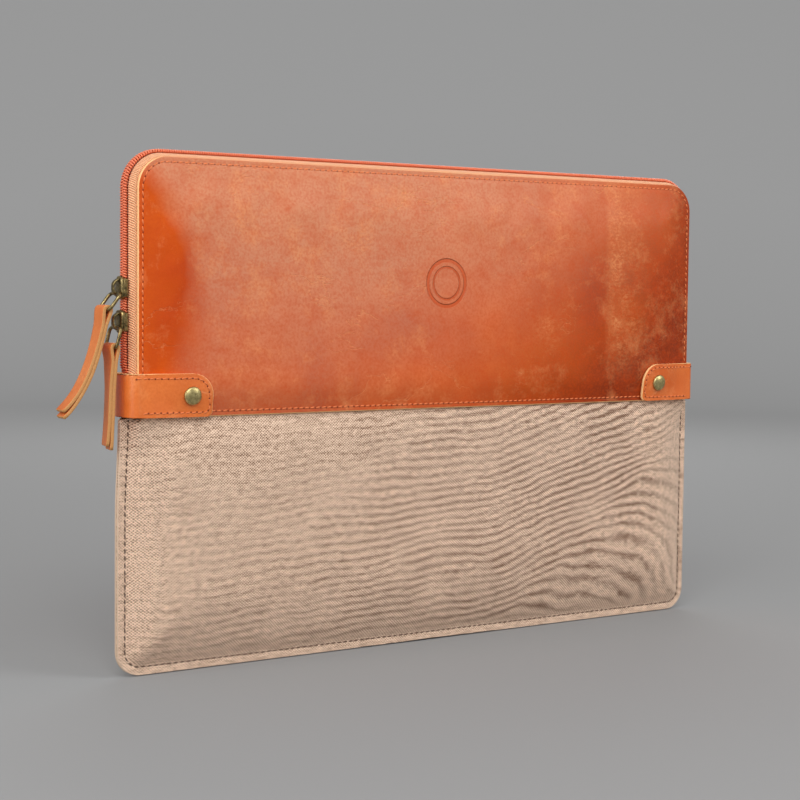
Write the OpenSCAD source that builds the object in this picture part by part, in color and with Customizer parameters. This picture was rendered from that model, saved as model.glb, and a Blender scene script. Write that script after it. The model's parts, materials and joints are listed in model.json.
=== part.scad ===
// Laptop sleeve: leather upper half, canvas lower half, two-way coil zip round the top,
// leather side tabs with rivets, and two sliders with wire rings and folded leather pulls.
// +Z up, +X to the right, the front face looks along -Y.
// Origin: middle of the bottom seam, half way through the thickness. Millimetres.

/* [Sleeve] */
// Width between the two zip planes
sleeve_w = 356; // [320:1:380]
// Height from the bottom seam to the top of the zip
sleeve_h = 250; // [230:1:280]
// Thickness over the two leather faces
sleeve_t = 22; // [20:0.5:28]
// Radius of the two top corners
top_r = 16; // [10:1:24]
// Radius of the two bottom corners
bottom_r = 12; // [9:1:20]
// Height of the line where leather meets canvas
seam_z = 124.5; // [110:0.5:140]

/* [Layers] */
// Thickness of the leather
leather_t = 1.6; // [1.2:0.1:2]
// Thickness of the canvas
canvas_t = 0.9; // [0.6:0.1:1.2]
// Thickness of the lining
lining_t = 0.5; // [0.4:0.1:0.8]
// Thickness of the free space for the laptop
cavity_t = 12.6; // [10:0.2:13]
// How far the sewn canvas edge stands out past the zip plane
seam_out = 5; // [3:0.5:8]
// Width of the sewn canvas edge
seam_w = 6; // [4:0.5:9]
// Width of the sloping shoulder of the canvas
shoulder = 12; // [8:1:20]

/* [Zip] */
// Thickness of the zip tape
tape_t = 0.6; // [0.4:0.1:0.8]
// Width of one row of coil
coil_w = 2.6; // [2:0.1:3]
// Height of the coil above the tape
coil_t = 2.2; // [1.6:0.1:2.4]
// Half of the gap between the two rows of coil
coil_gap = 0.4; // [0.4:0.05:0.6]
// Height of the upper slider's middle
upper_slider_z = 186; // [182:1:192]
// Height of the lower slider's middle
lower_slider_z = 170; // [165:1:171]

/* [Slider] */
// Length of the slider along the zip
slider_l = 11; // [9:0.5:12]
// Width of the slider across the zip
slider_w = 9; // [8:0.5:10]
// Height of the crown over the slider's plate
crown_h = 3.1; // [3:0.1:4]
// Wire radius of the pull ring
wire_r = 0.65; // [0.5:0.05:0.7]
// Length of the ring from crown to leather
ring_l = 10; // [8:0.5:12]

/* [Pulls] */
// Width of the leather pull
pull_w = 10; // [8:0.5:10]
// Thickness of the folded leather pull
pull_t = 3.2; // [2.6:0.1:3.6]
// Length of the upper leather pull below its eye
upper_pull_l = 55; // [40:1:58]
// Length of the lower leather pull below its eye
lower_pull_l = 48; // [40:1:56]
// Lean of the upper ring from straight down, outwards, in degrees
upper_lean = 38; // [32:1:45]
// Lean of the lower ring from straight down, outwards, in degrees
lower_lean = 14; // [12:1:24]

/* [Tabs] */
// Height of the side tabs
tab_h = 21; // [16:0.5:22]
// Length of a tab over each face
tab_l = 40; // [32:1:50]
// Distance from the zip plane to the rivet
rivet_in = 28.5; // [22:0.5:34]
// Radius of a rivet's domed cap
cap_r = 4.5; // [3.5:0.1:5]
// Height of a rivet's domed cap
cap_h = 2.2; // [1.5:0.1:2.6]
// Radius of a rivet's post
post_r = 1.5; // [1:0.1:2]

/* [Hidden] */
$fn = 48;

half_w = sleeve_w / 2;
half_t = sleeve_t / 2;
half_cavity = cavity_t / 2;
leather_in = half_t - leather_t;      // inner face of the leather, outer face of the canvas
canvas_in = leather_in - canvas_t;
lining_out = half_cavity + lining_t;  // lining's outer face, foam's inner face
clear = 0.1;                          // gap between pieces that move apart
tab_top = seam_z + tab_h;
flex_z = tab_top + 1.5;               // line about which the front opens
lap = 6;                              // canvas under the leather's lower edge
inset = 1.5;                          // foam and lining inside the zip tape
liner_z = 16;                         // bottom of the foam and lining
seam_t = 1.5;                         // one folded canvas edge, in thickness
lap_in = shoulder + 3;                // ends of the lap, from the zip plane
thread_w = 0.7;
thread_h = 0.3;
thread_in = 3;                        // thread's distance from a leather edge
seam_thread_in = 3.8;                 // thread's distance from the canvas edge
zip_end_z = seam_z + 6;
rivet_z = seam_z + tab_h / 2;
rivet_x = half_w - rivet_in;
inner_cap_h = 1;                      // rivet's flat cap inside the leather
coil_out = half_w + coil_t;
tab_in_x = coil_out + 0.3;            // inner face of the tab over the zip
fold_r = 2.4;                         // tab's fold radius over the sleeve's edge

// Slider: distances outwards from the zip plane, and the crown's window for the ring
plate_in = coil_t + 0.3;
plate_t = 1.5;
back_plate_t = 1.2;
web_half = 0.35;
crown_w = 3.2;
crown_l = 9;
crown_bar = 0.9;
ring_x = half_w + plate_in + plate_t + (crown_h - crown_bar) / 2;
ring_drop = 2.7;                      // ring's pivot below the slider's middle
ring_half = 6.25;                     // from the middle to the wire's centre at each side
bend_r = 1.1;                         // radius of the wire's centre line at the corners
eye_r = 2.6;
eye_hole_r = wire_r + 0.08;

// ---------- shared shapes ----------

// Outline of the upper half in the XZ plane: square below z0, rounded at the top
module top_outline(hw, top, r, z0) {
    translate([-hw, z0]) square([2 * hw, top - r - z0]);
    translate([-hw + r, z0]) square([2 * (hw - r), top - z0]);
    for (s = [-1, 1]) translate([s * (hw - r), top - r]) circle(r);
}

// Outline of the lower half in the XZ plane: rounded at the bottom, square at the top
module bottom_outline(hw, z0, r, top) {
    translate([-hw, z0 + r]) square([2 * hw, top - z0 - r]);
    translate([-hw + r, z0]) square([2 * (hw - r), r + 1]);
    for (s = [-1, 1]) translate([s * (hw - r), z0 + r]) circle(r);
}

// An XZ outline made solid between two depths
module slab(y0, y1) {
    translate([0, y1, 0]) rotate([90, 0, 0]) linear_extrude(y1 - y0) children();
}

// The shape given for the right end, at both ends
module both_ends() {
    for (m = [0, 1]) mirror([m, 0, 0]) children();
}

// The shape given for the front, on the front (-1) or mirrored to the back (1)
module side(s) {
    if (s < 0) children();
    else mirror([0, 1, 0]) children();
}

// A strip that follows the top outline, between two distances outwards from the zip plane
module zip_strip(out0, out1, y0, y1, z0) {
    slab(y0, y1) difference() {
        top_outline(half_w + out1, sleeve_h + out1, top_r + out1, z0);
        top_outline(half_w + out0, sleeve_h + out0, top_r + out0, z0 - 1);
    }
}

// A row of thread that follows the top outline, just proud of a leather face
module top_thread(z0) {
    zip_strip(-thread_in - thread_w, -thread_in, -half_t - thread_h, -half_t, z0);
}

// Quarter bend of round wire, in the plane of Y and Z, from +Y round to +Z
module wire_bend() {
    rotate([90, 0, 90]) rotate_extrude(angle = 90) translate([bend_r, 0]) circle(wire_r);
}

// ---------- leather ----------

module leather_sheet(z0) {
    slab(-half_t, -leather_in) top_outline(half_w, sleeve_h, top_r, z0);
}

module rivet_bore(r) {
    both_ends() translate([rivet_x, -half_t - 5, rivet_z]) rotate([-90, 0, 0]) cylinder(r = r, h = 8);
}

module front_leather_panel() {
    color("#c4673a") leather_sheet(flex_z + clear / 2);
}

module front_leather_hem() {
    color("#c4673a") difference() {
        translate([-half_w, -half_t, seam_z]) cube([sleeve_w, leather_t, flex_z - clear / 2 - seam_z]);
        rivet_bore(post_r + 0.05);
    }
}

module back_leather_panel() {
    color("#c4673a") side(1) difference() {
        leather_sheet(seam_z);
        rivet_bore(post_r + 0.05);
    }
}

// Tab: a strip folded round the edge, with one large and one small corner at each end
module tab(s) {
    outer_r = fold_r + leather_t;
    reach = tab_in_x + leather_t;
    end_x = half_w - tab_l;
    big_r = 11;
    small_r = 3;
    color("#cf7440") mirror([s < 0 ? 1 : 0, 0, 0]) difference() {
        intersection() {
            translate([0, 0, seam_z]) linear_extrude(tab_h) difference() {
                tab_section(reach, half_t + leather_t, outer_r);
                tab_section(tab_in_x, half_t, fold_r);
            }
            slab(-half_t - 3, half_t + 3) {
                translate([end_x + big_r, seam_z]) square([reach, tab_h]);
                translate([end_x, seam_z + small_r]) square([big_r + 1, tab_h - big_r - small_r]);
                translate([end_x + small_r, seam_z]) square([big_r, small_r + 1]);
                translate([end_x + big_r, tab_top - big_r]) circle(big_r);
                translate([end_x + small_r, seam_z + small_r]) circle(small_r);
            }
        }
        for (f = [-1, 1])
            translate([rivet_x, f * (half_t + 1), rivet_z]) rotate([90, 0, 0])
                cylinder(r = post_r + 0.05, h = 6, center = true);
    }
}

// Plan section of the tab's fold: rounded towards the sleeve's edge
module tab_section(x, y, r) {
    translate([0, -y]) square([x - r, 2 * y]);
    translate([0, -y + r]) square([x, 2 * (y - r)]);
    for (f = [-1, 1]) translate([x - r, f * (y - r)]) circle(r);
}

module left_tab() tab(-1);
module right_tab() tab(1);

// ---------- rivets ----------

module at_rivets() {
    for (f = [-1, 1])
        side(f) both_ends() translate([rivet_x, -half_t - leather_t, rivet_z]) rotate([90, 0, 0]) children();
}

module rivet_caps() {
    dome_r = (cap_r * cap_r + cap_h * cap_h) / (2 * cap_h);
    color("#9c8752") at_rivets() intersection() {
        translate([0, 0, cap_h - dome_r]) sphere(dome_r);
        cylinder(r = cap_r, h = cap_h + 1);
    }
}

module rivet_posts() {
    color("#9c8752") at_rivets() translate([0, 0, -2 * leather_t]) cylinder(r = post_r, h = 2 * leather_t);
}

module rivet_inner_caps() {
    color("#9c8752") at_rivets() translate([0, 0, -2 * leather_t - inner_cap_h])
        cylinder(r = cap_r - 0.5, h = inner_cap_h);
}

// ---------- canvas ----------

// A frustum from the seam outline at a base depth up to the flat face, drawn in by t
module canvas_mound(t, base) {
    intersection() {
        hull() {
            slab(-base, -base + 0.1)
                bottom_outline(half_w + seam_out - seam_w - t, seam_w + t, bottom_r - 3, seam_z + 20);
            slab(-leather_in + t, -leather_in + t + 0.1)
                bottom_outline(half_w - shoulder - t, shoulder + t, bottom_r - 4, seam_z + 20);
        }
        translate([-sleeve_w, -sleeve_t, 0]) cube([2 * sleeve_w, sleeve_t, seam_z - clear]);
    }
}

module canvas_panel() {
    difference() {
        canvas_mound(0, seam_t);
        canvas_mound(canvas_t, seam_t - 0.3);
        translate([-half_w + lap_in + 2, -canvas_in, seam_z - 1])
            cube([sleeve_w - 2 * lap_in - 4, half_t, 2]);
    }
    slab(-seam_t, -clear) difference() {
        bottom_outline(half_w + seam_out, 0, bottom_r, seam_z - clear);
        bottom_outline(half_w + seam_out - seam_w - 1, seam_w + 1, bottom_r - 4, seam_z + 1);
    }
    translate([-half_w + lap_in, -leather_in, seam_z - 2])
        cube([sleeve_w - 2 * lap_in, canvas_t, lap + 2]);
}

module front_canvas_panel() color("#b99c83") side(-1) canvas_panel();
module back_canvas_panel() color("#b99c83") side(1) canvas_panel();

// ---------- foam and lining ----------

foam_hw = half_w - inset;
lower_hw = half_w - lap_in;
lap_z = seam_z + lap + clear;

module lower_foam(top) {
    difference() {
        union() {
            translate([-lower_hw, -canvas_in, liner_z])
                cube([2 * lower_hw, canvas_in - lining_out, lap_z - liner_z]);
            translate([-lower_hw, -leather_in, lap_z])
                cube([2 * lower_hw, leather_in - lining_out, top - lap_z]);
        }
        both_ends() translate([rivet_x, -leather_in - 1, rivet_z]) rotate([-90, 0, 0])
            cylinder(r = cap_r, h = 1 + inner_cap_h + clear);
    }
}

module front_lower_foam() color("#3b3b3e") lower_foam(flex_z - clear / 2);

module front_upper_foam() {
    color("#3b3b3e") slab(-leather_in, -lining_out)
        top_outline(foam_hw, sleeve_h - inset, top_r - inset, flex_z + clear / 2);
}

module back_foam() {
    color("#3b3b3e") side(1) {
        lower_foam(flex_z);
        slab(-leather_in, -lining_out) top_outline(foam_hw, sleeve_h - inset, top_r - inset, flex_z);
    }
}

module front_lower_lining() {
    color("#7d6a55") translate([-lower_hw, -lining_out, liner_z])
        cube([2 * lower_hw, lining_t, flex_z - clear / 2 - liner_z]);
}

module front_upper_lining() {
    color("#7d6a55") slab(-lining_out, -half_cavity)
        top_outline(foam_hw, sleeve_h - inset, top_r - inset, flex_z + clear / 2);
}

module back_lining() {
    color("#7d6a55") side(1) {
        translate([-lower_hw, -lining_out, liner_z]) cube([2 * lower_hw, lining_t, flex_z - liner_z]);
        slab(-lining_out, -half_cavity) top_outline(foam_hw, sleeve_h - inset, top_r - inset, flex_z);
    }
}

// ---------- zip ----------

module front_zip_tape() color("#e07a55") zip_strip(-tape_t, 0, -leather_in, -coil_gap, flex_z + clear / 2);
module back_zip_tape() color("#e07a55") side(1) zip_strip(-tape_t, 0, -leather_in, -coil_gap, zip_end_z);
module front_zip_coil() color("#c8482a") zip_strip(0, coil_t, -coil_gap - coil_w, -coil_gap, flex_z + clear / 2);
module back_zip_coil() color("#c8482a") side(1) zip_strip(0, coil_t, -coil_gap - coil_w, -coil_gap, zip_end_z);

// Ends of the front tape and coil below the flex line, under the tabs
module leg_ends(out0, out1, y0, y1) {
    both_ends() translate([half_w + out0, y0, zip_end_z])
        cube([out1 - out0, y1 - y0, flex_z - clear / 2 - zip_end_z]);
}

module front_tape_ends() color("#e07a55") leg_ends(-tape_t, 0, -leather_in, -coil_gap);
module front_coil_ends() color("#c8482a") leg_ends(0, coil_t, -coil_gap - coil_w, -coil_gap);

// Stops at the two ends of the coil, under the tabs
module zip_end_stops() {
    stop_l = 3;
    color("#9c8752") both_ends() translate([half_w, -coil_gap - coil_w, zip_end_z - stop_l])
        cube([coil_t, 2 * (coil_gap + coil_w), stop_l - clear]);
}

// Slider body: outer plate, back plate inside the sleeve, the web between, and the rear flange
module slider_body(z) {
    nose = z > (upper_slider_z + lower_slider_z) / 2 ? -1 : 1;
    color("#8a7648") translate([-half_w, 0, z]) {
        translate([-plate_in - plate_t, -slider_w / 2, -slider_l / 2]) cube([plate_t, slider_w, slider_l]);
        translate([tape_t + 0.3, -slider_w / 2 + 0.3, -slider_l / 2])
            cube([back_plate_t, slider_w - 0.6, slider_l]);
        translate([-plate_in - 0.1, -web_half, nose * 3 - 1.5])
            cube([plate_in + tape_t + 0.5, 2 * web_half, 3]);
        translate([-plate_in - 0.1, slider_w / 2 - 0.9, -slider_l / 2]) cube([1.3, 0.9, slider_l]);
    }
}

// Crown: the bridge that holds the ring, with the ring's window through it
module slider_crown(z) {
    x0 = half_w + plate_in + plate_t;
    color("#9c8752") translate([-x0 - crown_h, 0, z]) difference() {
        translate([0, -crown_w / 2, -crown_l / 2]) cube([crown_h, crown_w, crown_l]);
        translate([crown_bar, -crown_w / 2 - 1, -crown_l / 2 + 1]) cube([crown_h, crown_w + 2, crown_l - 2]);
    }
}

module upper_slider_body() slider_body(upper_slider_z);
module upper_slider_crown() slider_crown(upper_slider_z);
module lower_slider_body() slider_body(lower_slider_z);
module lower_slider_crown() slider_crown(lower_slider_z);

// ---------- pulls ----------

// Where the ring's lower bar lies, seen from the ring's pivot
function bar_at(lean) = [-ring_l * sin(lean), 0, -ring_l * cos(lean)];

// Round wire bent to a rectangle: its upper bar is the pivot in the crown
module pull_ring(z, lean) {
    color("#b39a5d") translate([-ring_x, 0, z - ring_drop]) rotate([0, lean, 0]) union() {
        for (h = [0, -ring_l]) translate([0, bend_r - ring_half, h]) rotate([-90, 0, 0])
            cylinder(r = wire_r, h = 2 * (ring_half - bend_r));
        for (f = [-1, 1]) translate([0, f * ring_half, bend_r - ring_l])
            cylinder(r = wire_r, h = ring_l - 2 * bend_r);
        for (f = [0, 1], g = [0, 1]) mirror([0, f, 0])
            translate([0, ring_half - bend_r, g == 0 ? -bend_r : bend_r - ring_l])
                mirror([0, 0, g]) wire_bend();
    }
}

module upper_pull_ring() pull_ring(upper_slider_z, upper_lean);
module lower_pull_ring() pull_ring(lower_slider_z, lower_lean);

// Centre line of a pull in its own XZ plane: hangs at lean a0 and curls out to lean a1, most of it near the tip
steps = 12;
function lean_at(a0, a1, i) = a0 + (a1 - a0) * pow(i / steps, 2);
function centre(a0, a1, l, i) = i == 0 ? [0, 0] :
    let (a = lean_at(a0, a1, i - 0.5))
    centre(a0, a1, l, i - 1) + l / steps * [-sin(a), -cos(a)];
function edge(a0, a1, l, i, off) =
    let (a = lean_at(a0, a1, i)) centre(a0, a1, l, i) + off * [cos(a), -sin(a)];

// Folded leather pull: an eye round the ring's bar, then both layers together
module pull_strap(z, ring_lean, a0, a1, l) {
    bar = bar_at(ring_lean);
    color("#cf8148") translate([-ring_x + bar[0], pull_w / 2, z - ring_drop + bar[2]])
        rotate([90, 0, 0]) difference() {
            union() {
                cylinder(r = eye_r, h = pull_w);
                linear_extrude(pull_w) polygon(concat(
                    [for (i = [0:steps]) edge(a0, a1, l, i, pull_t / 2)],
                    [for (i = [steps:-1:0]) edge(a0, a1, l, i, -pull_t / 2)]));
            }
            translate([0, 0, -1]) cylinder(r = eye_hole_r, h = pull_w + 2);
        }
}

module upper_pull_strap() pull_strap(upper_slider_z, upper_lean, 12, 50, upper_pull_l);
module lower_pull_strap() pull_strap(lower_slider_z, lower_lean, 0, 2, lower_pull_l);

// ---------- thread ----------

module front_panel_thread() color("#c98a55") top_thread(flex_z + 0.5);
module back_panel_thread() color("#c98a55") side(1) top_thread(tab_top + 0.5);

module hem_thread() {
    color("#c98a55") for (f = [-1, 1])
        side(f) translate([-half_w + tab_l + 1, -half_t - thread_h, seam_z + 2.5])
            cube([sleeve_w - 2 * tab_l - 2, thread_h, thread_w]);
}

module tab_thread() {
    end_in = 6;                       // from the tab's rounded end, and from its fold
    edge_in = 2;
    color("#c98a55") for (f = [-1, 1], z = [seam_z + edge_in, tab_top - edge_in - thread_w])
        side(f) both_ends() translate([half_w - tab_l + end_in, -half_t - leather_t - thread_h, z])
            cube([tab_l - 2 * end_in, thread_h, thread_w]);
}

module canvas_seam_thread() {
    e = seam_thread_in;
    color("#6d5a4a") for (f = [-1, 1])
        side(f) slab(-seam_t - thread_h, -seam_t) difference() {
            bottom_outline(half_w + seam_out - e, e, bottom_r - e, seam_z - 1);
            bottom_outline(half_w + seam_out - e - thread_w, e + thread_w, bottom_r - e - thread_w, seam_z);
        }
}

// ---------- nodes ----------

back_leather_panel();
front_leather_hem();
front_canvas_panel();
back_canvas_panel();
front_lower_foam();
back_foam();
front_lower_lining();
back_lining();
back_zip_tape();
back_zip_coil();
front_tape_ends();
front_coil_ends();
zip_end_stops();
left_tab();
right_tab();
rivet_caps();
rivet_posts();
rivet_inner_caps();
hem_thread();
back_panel_thread();
tab_thread();
canvas_seam_thread();
front_leather_panel();
front_upper_foam();
front_upper_lining();
front_zip_tape();
front_zip_coil();
front_panel_thread();
upper_slider_body();
upper_slider_crown();
upper_pull_ring();
upper_pull_strap();
lower_slider_body();
lower_slider_crown();
lower_pull_ring();
lower_pull_strap();
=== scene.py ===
"""A padded laptop sleeve: leather over canvas, a coil zip round the top, riveted tabs and leather pulls.

Everything is in metres. +Z is up, +X is right, and the front looks along -Y. A "side" is -1 for the front
and 1 for the back. A "hand" is -1 for the left and 1 for the right. A "depth" is a distance from the middle
plane, and "out" is a distance outwards from the zip's plane.
"""
import json
import math

import bmesh
import bpy
import numpy as np
from mathutils import Matrix, Vector


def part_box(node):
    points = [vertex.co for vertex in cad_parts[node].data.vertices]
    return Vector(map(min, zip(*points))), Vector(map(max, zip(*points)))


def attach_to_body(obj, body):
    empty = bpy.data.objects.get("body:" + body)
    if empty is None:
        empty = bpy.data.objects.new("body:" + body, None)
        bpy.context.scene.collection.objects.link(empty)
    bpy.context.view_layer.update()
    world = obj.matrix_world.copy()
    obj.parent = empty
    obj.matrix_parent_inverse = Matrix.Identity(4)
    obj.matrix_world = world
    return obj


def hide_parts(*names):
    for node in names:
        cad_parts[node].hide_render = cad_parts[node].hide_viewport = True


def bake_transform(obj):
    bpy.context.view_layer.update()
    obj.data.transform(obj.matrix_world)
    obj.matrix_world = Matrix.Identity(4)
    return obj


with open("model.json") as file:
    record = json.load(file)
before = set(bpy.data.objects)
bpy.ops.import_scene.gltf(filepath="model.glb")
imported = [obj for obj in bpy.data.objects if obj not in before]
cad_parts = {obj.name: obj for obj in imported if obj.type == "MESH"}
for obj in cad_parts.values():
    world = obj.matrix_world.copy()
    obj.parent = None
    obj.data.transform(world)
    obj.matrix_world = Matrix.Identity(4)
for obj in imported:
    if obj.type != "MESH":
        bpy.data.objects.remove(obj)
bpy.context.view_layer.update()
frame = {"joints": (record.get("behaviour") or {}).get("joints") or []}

MM = 0.001
FRONT, BACK = -1, 1

# ---------- sizes from the frame ----------

leather_low, leather_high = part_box("back_leather_panel")
coil_low, coil_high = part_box("back_zip_coil")
tab_low, tab_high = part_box("right_tab")

HALF_W = leather_high.x          # middle to the zip's plane
TOP = leather_high.z
SEAM = leather_low.z             # where leather meets canvas
FACE = leather_high.y            # depth of the leather's outer face
LEATHER = leather_high.y - leather_low.y
EDGE_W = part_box("back_canvas_panel")[1].x  # middle to the sewn canvas edge
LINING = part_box("back_lining")[0].y  # depth of the lining's inner face
ZIP_END = coil_low.z
TAB_TOP = tab_high.z
TAB_OUT = tab_high.x
TAB_IN = tab_low.x

PANEL_IN = 2 * MM                # the gusset is domed, so the leather's edge lies inside the zip's plane
PANEL_W, PANEL_TOP = HALF_W - PANEL_IN, TOP - PANEL_IN
TOP_R = 15 * MM                  # corner radius at the top
BOTTOM_R = 12 * MM
EDGE = 9.2 * MM                  # depth of the leather's outer face at its edge
FLANGE = 1.6 * MM                # depth of the sewn canvas edge
FLANGE_W = 5 * MM
CANVAS = 0.9 * MM
ROLL = 26 * MM                   # over this distance from the edge the faces round off
BEVEL = 0.45 * MM
STITCH_IN = 2.4 * MM             # stitches from the leather's edge
SEAM_STITCH_IN = 4 * MM          # stitches from the canvas edge
PITCH = 3.3 * MM
EMBLEM = (0, 190 * MM)           # middle of the pressed rings
EMBLEM_RINGS = ((12 * MM, 0.7 * MM), (8.4 * MM, 0.4 * MM))  # radius and half width of each

# ---------- small helpers ----------


def linear(red, green, blue):
    """A colour given as on a screen, 0 to 255, as the linear values that shaders take."""
    def one(c):
        c /= 255
        return c / 12.92 if c <= 0.04045 else ((c + 0.055) / 1.055) ** 2.4
    return one(red), one(green), one(blue), 1


def smoothstep(t):
    t = np.clip(t, 0, 1)
    return t * t * (3 - 2 * t)


def new_object(name, data):
    obj = bpy.data.objects.new(name, data)
    bpy.context.scene.collection.objects.link(obj)
    return obj


def add_mesh(name, points, faces, materials, indices=None):
    mesh = bpy.data.meshes.new(name)
    mesh.from_pydata([tuple(p) for p in points], [], faces)
    for m in materials:
        mesh.materials.append(m)
    if indices is not None:
        mesh.polygons.foreach_set("material_index", indices)
    mesh.polygons.foreach_set("use_smooth", [True] * len(mesh.polygons))
    mesh.validate()
    return new_object(name, mesh)


def carry(obj, body, slot, *nodes):
    """Puts a piece on a body in place of CAD nodes. slot is not used."""
    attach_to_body(obj, body)
    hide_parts(*nodes)


def face_out(obj):
    """Turns a closed mesh's faces outwards."""
    b = bmesh.new()
    b.from_mesh(obj.data)
    bmesh.ops.recalc_face_normals(b, faces=b.faces)
    b.to_mesh(obj.data)
    b.free()
    return obj


def grid_faces(rows, columns):
    """Quads over a grid of points, as an array."""
    corner = (np.arange(rows - 1)[:, None] * columns + np.arange(columns - 1)).ravel()
    return np.stack([corner, corner + 1, corner + columns + 1, corner + columns], -1)


def ring_faces(count, start_a, start_b):
    """Quads between two loops of the same count."""
    return [(start_a + k, start_a + (k + 1) % count, start_b + (k + 1) % count, start_b + k)
            for k in range(count)]


def stack_faces(rings, count, start=0):
    """Quads between rings of count points, each ring after the one before, and a cap at both ends."""
    faces = []
    for k in range(rings - 1):
        faces += ring_faces(count, start + k * count, start + (k + 1) * count)
    last = start + (rings - 1) * count
    return faces + [tuple(range(start, start + count))[::-1], tuple(range(last, last + count))]


def around(count):
    """Angles of a full turn."""
    return np.linspace(0, 2 * math.pi, count, endpoint=False)


def quarter(count):
    """Angles of a quarter turn, both ends included."""
    return np.linspace(0, math.pi / 2, count)


def unit(vectors):
    """Each row of an array at length 1."""
    return vectors / np.maximum(np.linalg.norm(vectors, axis=-1), 1e-9)[..., None]


def tube(name, path, radius, material, closed=False, sides=12):
    """Round wire along a path of points."""
    path = np.array(path, float)
    n = len(path)
    ahead = np.roll(path, -1, 0) - np.roll(path, 1, 0)
    if not closed:
        ahead[0] = path[1] - path[0]
        ahead[-1] = path[-1] - path[-2]
    ahead = unit(ahead)
    side = np.cross(ahead[0], (0, 1, 0))
    if np.linalg.norm(side) < 1e-3:
        side = np.cross(ahead[0], (1, 0, 0))
    points = []
    for k in range(n):
        side = unit(side - ahead[k] * (side @ ahead[k]))
        up = np.cross(ahead[k], side)
        points += [path[k] + radius * (math.cos(a) * side + math.sin(a) * up) for a in around(sides)]
    faces = stack_faces(n, sides)
    if closed:
        faces = faces[:-2] + ring_faces(sides, (n - 1) * sides, 0)
    return face_out(add_mesh(name, points, faces, [material]))


def joined(name, parts):
    """One mesh from several."""
    bpy.ops.object.select_all(action="DESELECT")
    for o in parts:
        o.select_set(True)
    bpy.context.view_layer.objects.active = parts[0]
    bpy.ops.object.join()
    parts[0].name = name
    return parts[0]


# ---------- the sleeve's shape ----------


def edge_distance(x, z, half_w, low, high, r):
    """How far a point lies inside a rounded rectangle."""
    dx = half_w - np.abs(x)
    dz = np.minimum(z - low, high - z)
    corner = r - np.hypot(np.maximum(r - dx, 0), np.maximum(r - dz, 0))
    return np.where((dx < r) & (dz < r), corner, np.minimum(dx, dz))


def leather_base(x, z):
    inside = np.maximum(edge_distance(x, z, PANEL_W, -1, PANEL_TOP, TOP_R), 0)
    rise = np.sin(0.5 * math.pi * np.clip(inside / ROLL, 0, 1))
    pucker = 0.3 * MM * np.exp(-(((inside - STITCH_IN) / (0.8 * MM)) ** 2))
    return EDGE + (FACE - EDGE) * rise - pucker


def canvas_base(x, z):
    inside = np.maximum(edge_distance(x, z, EDGE_W, 0, 1, BOTTOM_R), 0)
    past = np.clip((inside - FLANGE_W) / ROLL, 0, 1)
    pucker = 0.25 * MM * np.exp(-(((inside - SEAM_STITCH_IN) / (0.8 * MM)) ** 2))
    sewn = FLANGE + (FACE - 1.3 * MM - FLANGE) * np.sin(0.5 * math.pi * past) ** 0.8 - pucker
    near_tab = smoothstep((z - SEAM + 20 * MM) / (20 * MM))
    under_tab = FLANGE + (leather_base(x, z) - 1.3 * MM - FLANGE) * smoothstep((inside - FLANGE_W) / (4 * MM))
    return sewn + (np.maximum(under_tab, sewn) - sewn) * near_tab


def face_base(x, z):
    return np.where(z > SEAM, leather_base(x, z), canvas_base(x, z))


PUFF_STEP = 4 * MM
PUFF_X = np.linspace(-HALF_W, HALF_W, int(2 * HALF_W / PUFF_STEP))
PUFF_Z = np.linspace(0, TOP, int(TOP / PUFF_STEP))
MAX_PUFF = 1.6 * MM


def simulate_puff():
    """How far the padding lifts each point of a face, from a cloth held at its edges and along the seam."""
    x, z = np.meshgrid(PUFF_X, PUFF_Z)
    rows, columns = x.shape
    depth = face_base(x, z)
    points = np.stack([x, -depth, z], -1).reshape(-1, 3)
    cloth = add_mesh("puff_cloth", points, grid_faces(rows, columns).tolist(), [])
    inside = edge_distance(x, z, HALF_W, 0, TOP, TOP_R)
    hold = np.clip(1 - (inside - 6 * MM) / (10 * MM), 0, 1)
    hold = np.maximum(hold, 0.5 * np.exp(-(((z - SEAM) / (5 * MM)) ** 2))).ravel()
    group = cloth.vertex_groups.new(name="held")
    for index, weight in enumerate(hold):
        if weight > 0.02:
            group.add([index], float(weight), "REPLACE")
    modifier = cloth.modifiers.new("cloth", "CLOTH")
    settings = modifier.settings
    settings.quality = 6
    settings.mass = 0.4
    settings.tension_stiffness = settings.compression_stiffness = 20
    settings.bending_stiffness = 4
    settings.use_pressure = True
    settings.uniform_pressure_force = 4
    settings.vertex_group_mass = "held"
    settings.shrink_min = -0.006
    settings.effector_weights.gravity = 0
    modifier.point_cache.frame_start, modifier.point_cache.frame_end = 1, 20
    scene = bpy.context.scene
    for f in range(1, 21):
        scene.frame_set(f)
    settled = cloth.evaluated_get(bpy.context.evaluated_depsgraph_get()).data
    co = np.zeros(len(settled.vertices) * 3, np.float32)
    settled.vertices.foreach_get("co", co)
    lift = np.clip(-co.reshape(rows, columns, 3)[..., 1] - depth, -0.5 * MAX_PUFF, MAX_PUFF)
    scene.frame_set(1)
    bpy.data.objects.remove(cloth)

    # Each inner value becomes the mean of itself and its four neighbours
    soft = lift.copy()
    soft[1:-1, 1:-1] += lift[:-2, 1:-1] + lift[2:, 1:-1] + lift[1:-1, :-2] + lift[1:-1, 2:]
    soft[1:-1, 1:-1] /= 5
    return soft


PUFF = simulate_puff()


def puff(x, z):
    """The padding's lift at a point, read between the grid's values."""
    column = np.clip((x + HALF_W) / (2 * HALF_W) * (len(PUFF_X) - 1), 0, len(PUFF_X) - 1.001)
    row = np.clip(z / TOP * (len(PUFF_Z) - 1), 0, len(PUFF_Z) - 1.001)
    c, r = np.floor(column).astype(int), np.floor(row).astype(int)
    u, v = column - c, row - r
    low = PUFF[r, c] * (1 - u) + PUFF[r, c + 1] * u
    high = PUFF[r + 1, c] * (1 - u) + PUFF[r + 1, c + 1] * u
    return low * (1 - v) + high * v


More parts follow.
